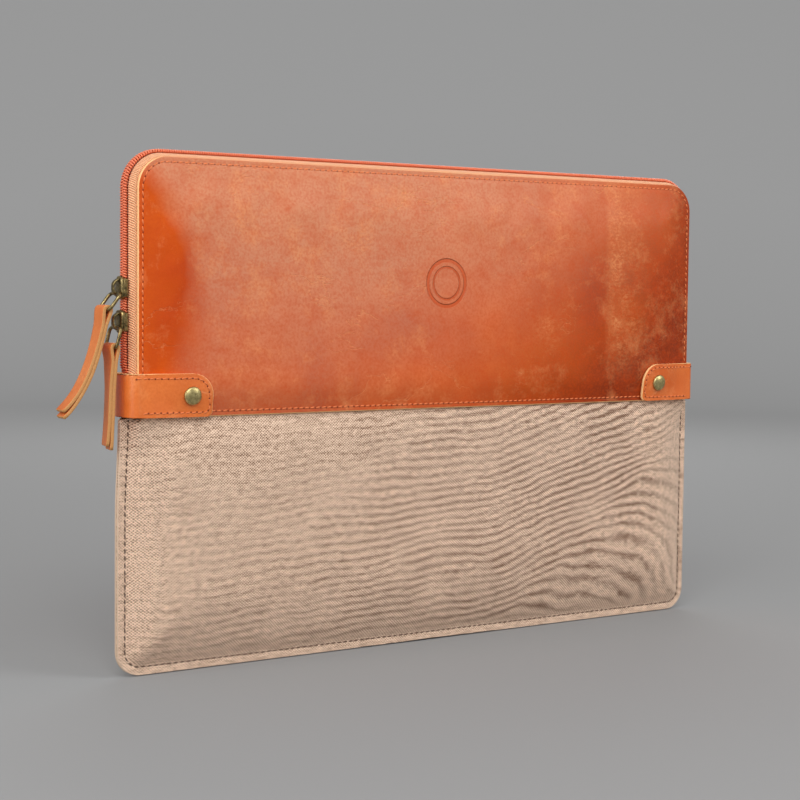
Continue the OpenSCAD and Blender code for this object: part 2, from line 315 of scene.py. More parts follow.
def leather_depth(x, z, side):
    return leather_base(x, z) + puff(x * -side, z)


def canvas_depth(x, z, side):
    inside = edge_distance(x, z, EDGE_W, 0, 1, BOTTOM_R)
    return canvas_base(x, z) + puff(x * -side, z) * smoothstep((inside - FLANGE_W) / (14 * MM))


def inner_depth(x, z, side):
    """Depth of the inner face of the leather or canvas."""
    under_canvas = canvas_depth(x, z, side) - CANVAS - 0.5 * MM
    return np.where(z > SEAM, leather_depth(x, z, side) - LEATHER, under_canvas)


# ---------- paths along the edges ----------


def edge_path(half_w, end_z, edge_z, r, step, inset=0):
    """Points (x, z), outward normals and lengths along: up one leg, round two corners, and down the other.
    edge_z above end_z is the zip's path, and below it is the canvas seam's."""
    sign = 1 if edge_z > end_z else -1
    half_w, r = half_w - inset, max(r - inset, 1 * MM)
    edge_z -= sign * inset
    leg = abs(edge_z - end_z) - r
    arc = 0.5 * math.pi * r
    flat = 2 * (half_w - r)
    total = 2 * leg + 2 * arc + flat
    s = np.linspace(0, total, max(int(round(total / step)), 2) + 1)
    points, normals = [], []
    for d in s:
        mirrored = d > total / 2
        d = total - d if mirrored else d
        if d < leg:
            x, z, nx, nz = -half_w, end_z + sign * d, -1, 0
        elif d < leg + arc:
            a = (d - leg) / r
            nx, nz = -math.cos(a), sign * math.sin(a)
            x, z = -half_w + r + r * nx, edge_z - sign * r + r * nz
        else:
            x, z, nx, nz = -half_w + r + (d - leg - arc), edge_z, 0, sign
        points.append((-x if mirrored else x, z))
        normals.append((-nx if mirrored else nx, nz))
    return np.array(points), np.array(normals), s


# ---------- sheets ----------


def rim_of(rows, columns):
    """The rows and columns of a grid's outer points, in order round it, and of each one's inner neighbour."""
    rim = [(0, c) for c in range(columns)] + [(r, columns - 1) for r in range(1, rows)]
    rim += [(rows - 1, c) for c in range(columns - 2, -1, -1)] + [(r, 0) for r in range(rows - 2, 0, -1)]
    r, c = np.array(rim).T
    return (r, c), (np.clip(r, 1, rows - 2), np.clip(c, 1, columns - 2))


def closed_sheet(name, outer, inner, loop_a, loop_b, materials):
    """Two grids of points joined by their rims, which run over loop_a and loop_b in the second material."""
    rows, columns, _ = outer.shape
    size = rows * columns
    (rim_r, rim_c), _ = rim_of(rows, columns)
    rim = rim_r * columns + rim_c
    points = np.concatenate([outer.reshape(-1, 3), inner.reshape(-1, 3), loop_a, loop_b])
    quads = grid_faces(rows, columns)
    a = 2 * size + np.arange(len(rim))
    strips = [rim, a, a + len(rim), size + rim]
    edges = [np.stack([p, np.roll(p, -1), np.roll(q, -1), q], -1) for p, q in zip(strips, strips[1:])]
    faces = np.concatenate([quads, quads + size] + edges)
    indices = [0] * (2 * len(quads)) + [1] * (3 * len(rim))
    return face_out(add_mesh(name, points, faces.tolist(), materials, indices))


def sheet(name, x, z, depth, under, side, face_material, edge_material):
    """A closed sheet between two depths over a grid of points, with rounded rims of the edge material."""
    rim, inward = rim_of(*x.shape)
    way = BEVEL * unit(np.stack([x[inward] - x[rim], z[inward] - z[rim]], -1))

    def layer(level, pull_in):
        grid = np.stack([x, side * level, z], -1)
        if pull_in:
            grid[..., 0][rim] += way[:, 0]
            grid[..., 2][rim] += way[:, 1]
        return grid

    loop_a = layer(depth - BEVEL, False)[rim]
    loop_b = layer(np.minimum(under + BEVEL, depth - BEVEL), False)[rim]
    return closed_sheet(name, layer(depth, True), layer(under, True), loop_a, loop_b,
                        [face_material, edge_material])


def solid_between(name, outer, inner, face_material, edge_material, bevel=BEVEL):
    """A closed sheet between two grids of points, with its rim in the edge material and a small bevel."""
    rim, inward = rim_of(*outer.shape[:2])
    thick = bevel * unit(inner - outer)[rim]
    loop_a, loop_b = outer[rim] + thick, inner[rim] - thick
    way = bevel * unit(outer[inward] - outer[rim])
    outer, inner = outer.copy(), inner.copy()
    outer[rim] += way
    inner[rim] += way
    return closed_sheet(name, outer, inner, loop_a, loop_b, [face_material, edge_material])


def across(width, fine, coarse):
    """Positions from -1 to 1: close together within 10 mm of each edge, and wider apart between."""
    near = np.arange(0, 10 * MM, fine)
    far = np.linspace(10 * MM, width, int((width - 10 * MM) / coarse))
    half = 1 - np.concatenate([near, far]) / width
    return np.concatenate([-half, half[::-1][1:]])


def face_grid(half_w, start, end, r, fine, coarse):
    """x and z over a face whose far end has rounded corners. end may be above or below start."""
    sign = 1 if end > start else -1
    turn = quarter(12)
    length = abs(end - start) - r
    first = np.arange(0, 6 * MM, fine)
    rest = np.linspace(6 * MM, length, int((length - 6 * MM) / coarse))
    z = np.concatenate([start + sign * first, start + sign * rest, end - sign * r * (1 - np.sin(turn[1:]))])
    w = np.concatenate([np.full(len(first) + len(rest), half_w), half_w - r * (1 - np.cos(turn[1:]))])
    u = across(half_w, fine, coarse)
    return w[:, None] * u[None, :], np.repeat(z[:, None], len(u), 1)


# ---------- materials ----------

# Colour of the painted sheen: a pale wash that stands in for the light's reflection on the panel
SHEEN_WASH = (217, 148, 116)
# Colour of the painted shade on the panel
SHADE_TONE = (134, 45, 4)
# Places rubbed light on the front and back panels: x, z, size and strength
SCUFFS = (
    (-56 * MM, 214 * MM, 13 * MM, 0.75),
    (70 * MM, 165 * MM, 15 * MM, 0.3),
    (34 * MM, 222 * MM, 10 * MM, 0.4),
    (-122 * MM, 220 * MM, 11 * MM, 0.5),
    (-30 * MM, 152 * MM, 12 * MM, 0.4),
)


def math_node(operation):
    """A method of Signal that adds a math node."""
    return lambda self, other=0.0: self.nodes.math(operation, self, other)


class Signal:
    """A value that a material works out at each point."""

    def __init__(self, nodes, socket):
        self.nodes = nodes
        self.socket = socket

    __add__ = math_node("ADD")
    __sub__ = math_node("SUBTRACT")
    __mul__ = math_node("MULTIPLY")
    __pow__ = math_node("POWER")
    __abs__ = math_node("ABSOLUTE")
    at_least = math_node("MAXIMUM")
    at_most = math_node("MINIMUM")

    def wave(self, length):
        """A sine that repeats over a length."""
        return self.nodes.math("SINE", self * (2 * math.pi / length))


class Nodes:
    """A material's node tree, with short calls to add and join its nodes."""

    def __init__(self, name):
        self.material = bpy.data.materials.new(name)
        self.material.use_nodes = True
        self.tree = self.material.node_tree
        self.shader = self.tree.nodes["Principled BSDF"]

    def feed(self, socket, value):
        """Links a signal to a socket, or sets a plain value on it."""
        if isinstance(value, Signal):
            self.tree.links.new(value.socket, socket)
        else:
            socket.default_value = value

    def add(self, kind, output, inputs=(), **settings):
        """Adds a node and gives one of its outputs."""
        node = self.tree.nodes.new(kind)
        for key, value in settings.items():
            setattr(node, key, value)
        for key, value in dict(inputs).items():
            self.feed(node.inputs[key], value)
        return Signal(self, node.outputs[output])

    def place(self, stretch=(1, 1, 1)):
        where = self.add("ShaderNodeTexCoord", "Object")
        return self.add("ShaderNodeMapping", 0, {"Vector": where, "Scale": stretch})

    def noise(self, size, detail=3, stretch=(1, 1, 1), distortion=0, roughness=0.5):
        """Noise whose patches are about size metres across."""
        inputs = {"Vector": self.place(stretch), "Scale": 1 / size, "Detail": detail,
                  "Distortion": distortion, "Roughness": roughness}
        return self.add("ShaderNodeTexNoise", "Fac", inputs)

    def spread(self, value, low, high, to_low=0.0, to_high=1.0):
        """A value's range from low to high, spread over another range and held at its ends."""
        inputs = {"Value": value, "From Min": low, "From Max": high, "To Min": to_low, "To Max": to_high}
        return self.add("ShaderNodeMapRange", 0, inputs)

    def math(self, operation, a, b=0.0, clamp=False):
        return self.add("ShaderNodeMath", 0, {0: a, 1: b}, operation=operation, use_clamp=clamp)

    def axis(self, letter):
        return self.add("ShaderNodeSeparateXYZ", letter, {"Vector": self.place()})

    def away_from(self, x, z):
        """Each point's distance from a place on the face."""
        return ((self.axis("X") - x) ** 2 + (self.axis("Z") - z) ** 2) ** 0.5

    def mix(self, factor, a, b):
        """Colour a where the factor is 0, and colour b where it is 1."""
        inputs = {0: factor, 6: a, 7: b}
        return self.add("ShaderNodeMix", 2, inputs, data_type="RGBA", blend_type="MIX")

    def finish(self, color, roughness, height=None, relief=0.1 * MM, metallic=0.0, specular=0.5, sheen=0.0):
        for key, value in (("Base Color", color), ("Roughness", roughness), ("Metallic", metallic),
                           ("Specular IOR Level", specular), ("Sheen Weight", sheen)):
            self.feed(self.shader.inputs[key], value)
        if height is not None:
            bump = self.add("ShaderNodeBump", 0, {"Height": height, "Distance": relief, "Strength": 1})
            self.feed(self.shader.inputs["Normal"], bump)
        return self.material


def pressed_rings(n):
    """1 on two thin rings about the emblem's middle, and 0 away from them."""
    away = n.away_from(*EMBLEM)
    outer, inner = (n.spread(abs(away - radius), half, 1.7 * half, 1, 0) for radius, half in EMBLEM_RINGS)
    return outer + inner


def panel_tones(n, color, rubbed):
    """The large panel's tones: a painted sheen, a pale wash stronger towards the top, covers its middle but
    not its left edge, where the face rolls back; painted shade darkens its lower right, its right edge and
    its bottom; a strip near the right is rubbed, and there are a few scuffs."""
    x, z = n.axis("X"), n.axis("Z")
    wandering = x + (n.noise(50 * MM, 3) - 0.5) * 0.04
    bulge = (z - 180 * MM) ** 2 * 6
    # 1 to the right of the rolled left edge, which keeps its full orange because the painted sheen leaves it
    # out
    past_left_roll = n.spread(wandering + bulge, -0.156, -0.137)
    slant = wandering - (z - SEAM) * 1.1
    # Painted sheen: a pale wash over the middle, fading towards the lower right and stronger towards the top
    painted_sheen = past_left_roll * n.spread(slant, -0.12, 0.08, 1, 0) * n.spread(z, 0.14, 0.2, 0.45, 0.9)
    color = n.mix(painted_sheen, color, linear(*SHEEN_WASH))
    # More painted sheen near the top, in the rubbed colour
    color = n.mix(n.spread(z, 0.17, 0.225, 0, 0.28) * painted_sheen, color, rubbed)
    # Painted shade: darker towards the lower right, at the right edge where the face rolls back, and near the
    # bottom
    dark = n.spread(slant, -0.1, 0.11) ** 1.4
    dark = dark.at_least(n.spread(x, 0.14, 0.175, 0.2, 0.95))
    dark = dark.at_least(n.spread(z, 0.128, 0.158, 0.45, 0) * past_left_roll)
    color = n.mix(dark, color, linear(*SHADE_TONE))

    fleck = n.spread(n.noise(1.2 * MM, 4, (0.55, 1, 1), 0.3, 0.7), 0.42, 0.6)
    fleck = fleck * n.spread(n.noise(9 * MM, 4, (1, 1, 0.7)), 0.34, 0.6)
    strip = n.spread(x, 0.109, 0.113) * n.spread(x, 0.12, 0.146, 1, 0) * n.spread(z, 0.135, 0.16)
    worn = strip * (fleck * 0.4 + 0.12)
    for scuff_x, scuff_z, size, strength in SCUFFS:
        spot = n.spread(n.away_from(scuff_x, scuff_z), 0.2 * size, size, strength, 0)
        worn = worn.at_least(spot * fleck)
    return n.mix(worn, color, rubbed)


def leather_material(name, deep, light, rubbed, shine=(0.36, 0.52), specular=0.34, panel=False):
    """Waxed pull-up leather: soft large tones, rubbed clouds, creases, small scuffs and a fine grain.
    shine is its lowest and highest roughness."""
    n = Nodes(name)
    color = n.mix(n.spread(n.noise(60 * MM, 3, distortion=0.3), 0.36, 0.66), deep, light)
    if panel:
        # On the panel: painted sheen and painted shade, with the real rubbed strip and scuffs
        color = panel_tones(n, color, rubbed)
    mottle = n.spread(n.noise(9 * MM, 7, (0.8, 1, 1), 0.4, 0.72), 0.46, 0.72, 0, 0.42)
    color = n.mix(mottle, color, deep)
    cloud = n.spread(n.noise(20 * MM, 8, roughness=0.75), 0.52, 0.72, 0, 0.42)
    color = n.mix(cloud, color, rubbed)
    crease = n.spread(abs(n.noise(34 * MM, 5, (0.5, 1, 1), 0.6, 0.6) - 0.5), 0, 0.006, 1, 0)
    crease = crease * n.spread(n.noise(40 * MM, 2), 0.48, 0.6)
    color = n.mix(crease * 0.3, color, rubbed)
    speck = n.spread(n.noise(1.3 * MM, 4), 0.42, 0.66, 0, 0.34)
    color = n.mix(speck, color, deep)
    grain = n.noise(0.5 * MM, 4, roughness=0.6)
    pores = n.add("ShaderNodeTexVoronoi", "Distance", {"Vector": n.place(), "Scale": 1 / (0.9 * MM)})
    height = grain * 0.6 + pores * 0.4 + n.noise(22 * MM, 3) * 6 - crease
    if panel:
        pressed = pressed_rings(n)
        color = n.mix(pressed * 0.6, color, deep)
        height = height - pressed * 5
    rough = n.spread(n.noise(25 * MM, 4), 0.3, 0.7, *shine)
    return n.finish(color, rough, height, 0.11 * MM, specular=specular)


def drift(n, x, z):
    """How far the canvas's ripples lie from level lines at a point: they climb a little towards the right,
    and past a slanting ridge they turn over and run down."""
    ridge = z * 1.23 + 38 * MM
    climb = (x.at_most(ridge) - 35 * MM).at_least(0)
    past = (x - ridge).at_least(0)
    turned = past.at_most(100 * MM)
    fall = turned * (past * 2 - turned)
    sway = n.noise(38 * MM, 3, (0.7, 1, 1)) * (12 * MM) + n.noise(11 * MM, 2) * (2.4 * MM)
    return fall * 2 - (climb * 0.22 + x * 0.05) + sway


def canvas_material(name, light, dark):
    """Plain weave: crossed threads, slubs along the weft, and ripples where the threads drift."""
    n = Nodes(name)
    x, z = n.axis("X"), n.axis("Z")

    def threads(where, pitch):
        return (where + n.noise(25 * MM, 2) * (1.2 * MM)).wave(pitch)

    cross = threads(x, 1.6 * MM) * threads(z, 1.4 * MM)
    slub = n.noise(0.6 * MM, 2, (0.18, 1, 1))
    upright = n.noise(0.6 * MM, 2, (1, 1, 0.3))
    ripple = ((z + drift(n, x, z)).wave(4.2 * MM) * 0.5 + 0.5) ** 1.7
    strength = n.spread(x - z * 0.7, -0.2, 0.05, 0.26, 1) * n.spread(x, 0.13, 0.178, 1, 0.3)
    strength = strength * n.spread(z, FLANGE_W, 2 * FLANGE_W)
    broken = n.spread(n.noise(22 * MM, 3), 0.3, 0.6, 0.4, 1)
    ripple = ripple * strength * broken

    shade = n.spread(slub, 0.38, 0.62) * 0.5 + n.spread(upright, 0.42, 0.62) * 0.3
    shade = n.math("SUBTRACT", shade + ripple * 0.76 + cross * 0.6, 0.14, clamp=True)
    height = cross - slub * 1.5
    return n.finish(n.mix(shade, light, dark), 0.92, height, 0.14 * MM, specular=0.2, sheen=0.15)


def plain_material(name, color, roughness, size=3 * MM, relief=0.04 * MM, spread=0.25, **more):
    """One colour with a little noise in its tone and its surface."""
    n = Nodes(name)
    noise = n.noise(size, 4)
    darker = tuple(c * 0.45 for c in color[:3]) + (1,)
    shade = n.mix(n.spread(noise, 0.3, 0.7, 0, spread), color, darker)
    return n.finish(shade, roughness, noise, relief, **more)


def tape_material(name, color, dark):
    """Ribbed zip tape: fine ribs across it."""
    n = Nodes(name)
    ribs = (n.axis("Z") + n.axis("X")).wave(1.15 * MM)
    height = ribs + n.noise(0.5 * MM, 2, (1, 0.3, 1))
    shade = n.mix(n.spread(height, -0.6, 1.5, 0.75, 0), color, dark)
    return n.finish(shade, 0.8, height, 0.2 * MM, specular=0.3, sheen=0.2)


def brass_material(name, bright, worn):
    """Antique brass: brown in the hollows, brighter where it is rubbed."""
    n = Nodes(name)
    patina = n.spread(n.noise(1.6 * MM, 5, roughness=0.7), 0.35, 0.68)
    rough = n.spread(n.noise(2.5 * MM, 3), 0.3, 0.7, 0.26, 0.48)
    return n.finish(n.mix(patina, bright, worn), rough, n.noise(0.7 * MM, 3), 0.02 * MM, metallic=1.0)


LEATHER_MAT = leather_material("cognac_leather", linear(196, 68, 4), linear(246, 108, 12),
                               linear(238, 156, 98), specular=0.2, panel=True)
TAB_MAT = leather_material("tab_leather", linear(208, 94, 26), linear(240, 134, 62), linear(246, 168, 108),
                           (0.28, 0.42), 0.5)
PULL_MAT = leather_material("pull_leather", linear(196, 98, 38), linear(222, 128, 66), linear(232, 158, 100))
RAW_MAT = plain_material("raw_leather_edge", linear(252, 196, 134), 0.7, 0.8 * MM, 0.08 * MM)
PULL_EDGE_MAT = plain_material("pull_edge", linear(200, 142, 82), 0.7, 0.8 * MM, 0.1 * MM)
CANVAS_MAT = canvas_material("beige_canvas", linear(248, 215, 188), linear(112, 76, 53))
CANVAS_EDGE_MAT = plain_material("canvas_fold", linear(206, 180, 156), 0.9, 0.6 * MM, 0.08 * MM)
TAPE_MAT = tape_material("zip_tape_fabric", linear(255, 200, 150), linear(226, 112, 64))
COIL_MAT = plain_material("zip_coil_nylon", linear(238, 126, 86), 0.34, 2 * MM, 0.01 * MM, 0.15)
BRASS_MAT = brass_material("antique_brass", linear(168, 148, 100), linear(70, 60, 42))
CAP_MAT = brass_material("rivet_brass", linear(214, 198, 140), linear(150, 132, 84))
THREAD_MAT = plain_material("leather_thread", linear(232, 128, 72), 0.6, 0.4 * MM, 0.05 * MM)
# Painted shade in the needle holes: dark red-brown discs
HOLE_SHADE_MAT = plain_material("needle_holes", linear(136, 48, 14), 0.8)
SEAM_THREAD_MAT = plain_material("canvas_thread", linear(92, 66, 50), 0.7, 0.4 * MM, 0.05 * MM)
LINING_MAT = plain_material("lining_fabric", linear(124, 98, 74), 0.9, 1.2 * MM, 0.1 * MM)
FOAM_MAT = plain_material("foam_padding", linear(52, 52, 55), 0.95, 1 * MM, 0.1 * MM)

# ---------- leather, canvas, padding ----------


def side_name(side):
    return "front" if side == FRONT else "back"


def attach(obj, side, slot, front_nodes, back_nodes):
    """The front has its transform baked into its points, and the back stays with the sleeve. Each takes the
    place of its own CAD nodes."""
    if side == FRONT:
        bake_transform(obj)
        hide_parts(*front_nodes)
    else:
        carry(obj, "sleeve", slot, *back_nodes)


def leather_panel(side):
    x, z = face_grid(PANEL_W, SEAM, PANEL_TOP, TOP_R, 0.7 * MM, 2.2 * MM)
    depth = leather_depth(x, z, side)
    panel = sheet(f"{side_name(side)}_leather", x, z, depth, depth - LEATHER, side, LEATHER_MAT, RAW_MAT)
    attach(panel, side, "cognac_leather", ("front_leather_panel", "front_leather_hem"),
           ("back_leather_panel",))


def canvas_taper(x, z):
    """Narrows the canvas a little towards the left tab, and above the seam, where it runs inside the tabs."""
    left = np.where(x < 0, 0.008, 0) * smoothstep((z - SEAM + 50 * MM) / (50 * MM))
    return 1 - left - 0.045 * smoothstep((z - SEAM) / (1.2 * MM))


def canvas_panel(side):
    x, z = face_grid(EDGE_W, SEAM + 7 * MM, 0, BOTTOM_R, 0.7 * MM, 2.2 * MM)
    x = x * canvas_taper(x, z)
    depth = canvas_depth(x, z, side)
    under = np.maximum(depth - CANVAS, 0.05 * MM)
    panel = sheet(f"{side_name(side)}_canvas", x, z, depth, under, side, CANVAS_MAT, CANVAS_EDGE_MAT)
    carry(panel, "sleeve", "beige_canvas", f"{side_name(side)}_canvas_panel")


def padding(side):
    """The foam, and the lining that faces the laptop."""
    start, gap = 8 * MM, 0.05 * MM
    x, z = face_grid(PANEL_W - 0.5 * MM, start, PANEL_TOP - 0.5 * MM, TOP_R, 2 * MM, 5 * MM)
    outer = inner_depth(x, z, side) - gap
    face = np.maximum(np.minimum(LINING, outer - 1.1 * MM), 0.1 * MM)
    lining = sheet(f"{side_name(side)}_lining_cloth", x, z, face + 0.5 * MM, face, side,
                   LINING_MAT, LINING_MAT)
    foam_in = face + 0.5 * MM + gap
    foam = sheet(f"{side_name(side)}_foam", x, z, np.maximum(outer, foam_in + 0.2 * MM), foam_in, side,
                 FOAM_MAT, FOAM_MAT)
    attach(lining, side, "lining_fabric", ("front_lower_lining", "front_upper_lining"), ("back_lining",))
    attach(foam, side, "foam_padding", ("front_lower_foam", "front_upper_foam"), ("back_foam",))


# ---------- zip ----------

COIL_MID = 1.4 * MM              # depth of the coil's centre
COIL_OUT = 1.1 * MM              # its centre's height over the tape
COIL_PITCH = 1.25 * MM


def zip_tape(side):
    """The gusset cloth: a closed profile of (out, depth) points carried along the zip's path, from under the
    leather's edge, over a small dome, to beneath the coil and back."""
    edge_out, edge_in = EDGE - LEATHER - 0.1 * MM, EDGE - LEATHER - 0.7 * MM
    profile = [(-PANEL_IN - 3 * MM, edge_out), (-PANEL_IN + 0.2 * MM, edge_out),
               (-PANEL_IN + 0.9 * MM, edge_out - 0.5 * MM), (-0.5 * MM, 5.2 * MM), (0, 3.8 * MM),
               (0.1 * MM, 3 * MM), (-0.1 * MM, 2.7 * MM), (-0.25 * MM, 0.3 * MM), (-0.8 * MM, 0.3 * MM),
               (-0.5 * MM, 3.2 * MM), (-1.1 * MM, 5 * MM), (-PANEL_IN, edge_in - 0.4 * MM),
               (-PANEL_IN - 3 * MM, edge_in)]
    path, normal, _ = edge_path(HALF_W, ZIP_END - 3 * MM, TOP, TOP_R + PANEL_IN, 1.5 * MM)
    points = [(x + nx * out, side * depth, z + nz * out)
              for (x, z), (nx, nz) in zip(path, normal) for out, depth in profile]
    faces = stack_faces(len(path), len(profile))
    tape = face_out(add_mesh(f"{side_name(side)}_zip_tape_cloth", points, faces, [TAPE_MAT]))
    attach(tape, side, "zip_tape_fabric", ("front_zip_tape", "front_tape_ends"), ("back_zip_tape",))


def zip_coil(side):
    """A flattened spiral of nylon along the tape, half a turn out of step with the one opposite."""
    half_y, half_out, samples = 1.35 * MM, 0.62 * MM, 10
    path, normal, s = edge_path(HALF_W, ZIP_END, TOP, TOP_R + PANEL_IN, COIL_PITCH / samples)
    turn = 2 * math.pi * (s / COIL_PITCH + (0.5 if side == FRONT else 0))
    under_tab = 1 - smoothstep((path[:, 1] - TAB_TOP) / (4 * MM))
    out = COIL_OUT + half_out * np.sin(turn) - 1.3 * MM * under_tab
    depth = COIL_MID + half_y * np.cos(turn)
    wire = np.stack([path[:, 0] + normal[:, 0] * out, side * depth, path[:, 1] + normal[:, 1] * out], -1)
    coil = tube(f"{side_name(side)}_coil", wire, 0.45 * MM, COIL_MAT, sides=6)
    attach(coil, side, "zip_coil_nylon", ("front_zip_coil", "front_coil_ends"), ("back_zip_coil",))


# ---------- stitches ----------


def on_face(x, z, side, depth_at):
    """Points on a face and its outward normals there."""
    x, z = np.asarray(x, float), np.asarray(z, float)
    h = 0.5 * MM
    d = depth_at(x, z, side)
    dx = (depth_at(x + h, z, side) - depth_at(x - h, z, side)) / (2 * h)
    dz = (depth_at(x, z + h, side) - depth_at(x, z - h, side)) / (2 * h)
    normal = unit(np.stack([-dx, np.full_like(dx, side), -dz], -1))
    return np.stack([x, side * d, z], -1), normal


def stitches_on(name, xz, side, depth_at, pitch, radius, thread, tilt=0.16, holes=True):
    """Short rounded threads along a row of points on a face, each with a dark disc at its start as painted
    shade in its needle hole.
    """
    where, away = on_face(xz[:, 0], xz[:, 1], side, depth_at)
    ahead = np.gradient(where, axis=0)
    ahead = unit(ahead - away * np.sum(ahead * away, axis=1)[:, None])
    points, faces, indices = [], [], []
    length, rings, sides = 0.74 * pitch, 5, 6
    turns = around(sides)
    for p, along, up in zip(where, ahead, away):
        along = along * math.cos(tilt) + np.cross(up, along) * math.sin(tilt)
        across_row = np.cross(up, along)
        start = len(points)
        for t in np.linspace(-1, 1, rings):
            fat = radius * math.sqrt(max(1 - t * t * 0.9, 0.05))
            lift = radius * 0.35 * (1 - t * t)
            points += [p + along * t * length / 2 + across_row * fat * math.cos(a)
                       + up * (fat * 0.8 * math.sin(a) + lift) for a in turns]
        faces += stack_faces(rings, sides, start)
        indices += [0] * (sides * (rings - 1) + 2)
        if holes:
            # A dark disc at the stitch's start, painted shade in the needle hole
            start = len(points)
            centre = p - along * pitch / 2
            for lift, fat in ((-0.12 * MM, radius * 1.35), (0.07 * MM, radius * 1.25)):
                points += [centre + fat * (along * math.cos(a) + across_row * math.sin(a)) + up * lift
                           for a in turns]
            faces += stack_faces(2, sides, start)
            indices += [1] * (sides + 2)
    return face_out(add_mesh(name, points, faces, [thread, HOLE_SHADE_MAT if holes else thread], indices))


def leather_stitches(side):
    name = side_name(side)
    path, _, _ = edge_path(PANEL_W, TAB_TOP + 2 * MM, PANEL_TOP, TOP_R, PITCH, STITCH_IN)
    edge = stitches_on(f"{name}_edge_stitches", path, side, leather_depth, PITCH, 0.36 * MM, THREAD_MAT)
    attach(edge, side, "leather_thread", ("front_panel_thread",), ("back_panel_thread",))
    inner = TAB_IN - 1 * MM
    x = np.arange(-inner, inner, PITCH)
    hem = stitches_on(f"{name}_hem_stitches", np.stack([x, np.full_like(x, SEAM + 2.6 * MM)], -1), side,
                      leather_depth, PITCH, 0.36 * MM, THREAD_MAT)
    carry(hem, "sleeve", "leather_thread", "hem_thread")


def canvas_stitches(side):
    path, _, _ = edge_path(EDGE_W, SEAM - 1 * MM, 0, BOTTOM_R, 3.5 * MM, SEAM_STITCH_IN)
    path[:, 0] *= canvas_taper(path[:, 0], path[:, 1])
    row = stitches_on(f"{side_name(side)}_canvas_stitches", path, side, canvas_depth, 3.5 * MM, 0.4 * MM,
                      SEAM_THREAD_MAT, 0.1, False)
    carry(row, "sleeve", "canvas_thread", "canvas_seam_thread")


# ---------- tabs and rivets ----------

BIG_R, SMALL_R = 11 * MM, 3 * MM


def tab_start(z):
    """Where a tab's inner end lies at a height: a large corner at the top and a small one at the bottom."""
    top = np.maximum(z - (TAB_TOP - BIG_R), 0)
    low = np.maximum(SEAM + SMALL_R - z, 0)
    return (TAB_IN + BIG_R - np.sqrt(np.maximum(BIG_R ** 2 - top ** 2, 0))
            + SMALL_R - np.sqrt(np.maximum(SMALL_R ** 2 - low ** 2, 0)))


def tab_grid(hand):
    """Points of a tab's outer and inner faces, from its front end round the sleeve's edge to its back end."""
    turn = quarter(8)
    straight = np.linspace(SEAM + SMALL_R, TAB_TOP - BIG_R, 6)[1:-1]
    z = np.concatenate([SEAM + SMALL_R * (1 - np.cos(turn)), straight,
                        TAB_TOP - BIG_R + BIG_R * np.sin(turn)])
    flat_end = HALF_W - 2.5 * MM
    bend = quarter(12)[1:]
    outer_rows, inner_rows = [], []
    for height in z:
        start = float(tab_start(np.array(height)))
        x = start + (flat_end - start) * np.linspace(0, 1, 24)
        rows = []
        for extra in (LEATHER + 0.1 * MM, 0.1 * MM):
            halves = []
            for side in (FRONT, BACK):
                d = leather_depth(hand * x, np.full_like(x, height), side) + extra
                reach = TAB_OUT - 1.6 * MM - LEATHER + extra - flat_end
                round_x = flat_end + reach * np.sin(bend) ** 0.85
                round_d = d[-1] * np.cos(bend) ** 0.62
                halves.append(np.stack([hand * np.concatenate([x, round_x]),
                                        side * np.concatenate([d, round_d]),
                                        np.full(len(x) + len(bend), height)], -1))
            rows.append(np.concatenate([halves[0], halves[1][::-1][1:]]))
        outer_rows.append(rows[0])
        inner_rows.append(rows[1])
    return np.array(outer_rows), np.array(inner_rows)


def tab(hand):
    name = "left" if hand < 0 else "right"
    outer, inner = tab_grid(hand)
    piece = solid_between(f"{name}_tab_leather", outer, inner, TAB_MAT, RAW_MAT)
    carry(piece, "sleeve", "cognac_leather", f"{name}_tab")


def tab_stitches():
    """Round each tab's edge on both faces, 2.2 mm in."""
    inset = 2.2 * MM
    big, small = BIG_R - inset, SMALL_R - 1 * MM
    low, high, end = SEAM + inset, TAB_TOP - inset, TAB_IN + inset
    edge = HALF_W - 2 * MM
    corner = quarter(9)
    outline = [(edge, high)]
    outline += [(end + big - big * math.sin(a), high - big + big * math.cos(a)) for a in corner]
    outline += [(end + small - small * math.cos(a), low + small - small * math.sin(a)) for a in corner]
    outline += [(edge, low)]
    outline = np.array(outline)
    length = np.concatenate([[0], np.cumsum(np.linalg.norm(np.diff(outline, axis=0), axis=1))])
    s = np.arange(0, length[-1], 3.1 * MM)
    x, z = np.interp(s, length, outline[:, 0]), np.interp(s, length, outline[:, 1])

    def over_tab(px, pz, side):
        return leather_depth(px, pz, side) + LEATHER + 0.12 * MM

    parts = [stitches_on("part", np.stack([hand * x, z], -1), side, over_tab, 3.1 * MM, 0.34 * MM, THREAD_MAT)
             for hand in (-1, 1) for side in (FRONT, BACK)]
    carry(joined("tab_stitches", parts), "sleeve", "leather_thread", "tab_thread")


def lathe(profile, origin, axis, material, sides):
    """A round shape from (radius, height) points, closed at both ends on the axis."""
    turn = Vector((0, 0, 1)).rotation_difference(Vector(axis)).to_matrix()
    points = [Vector(origin) + turn @ Vector((radius * math.cos(a), radius * math.sin(a), height))
              for radius, height in profile for a in around(sides)]
    return face_out(add_mesh("lathed", points, stack_faces(len(profile), sides), [material]))


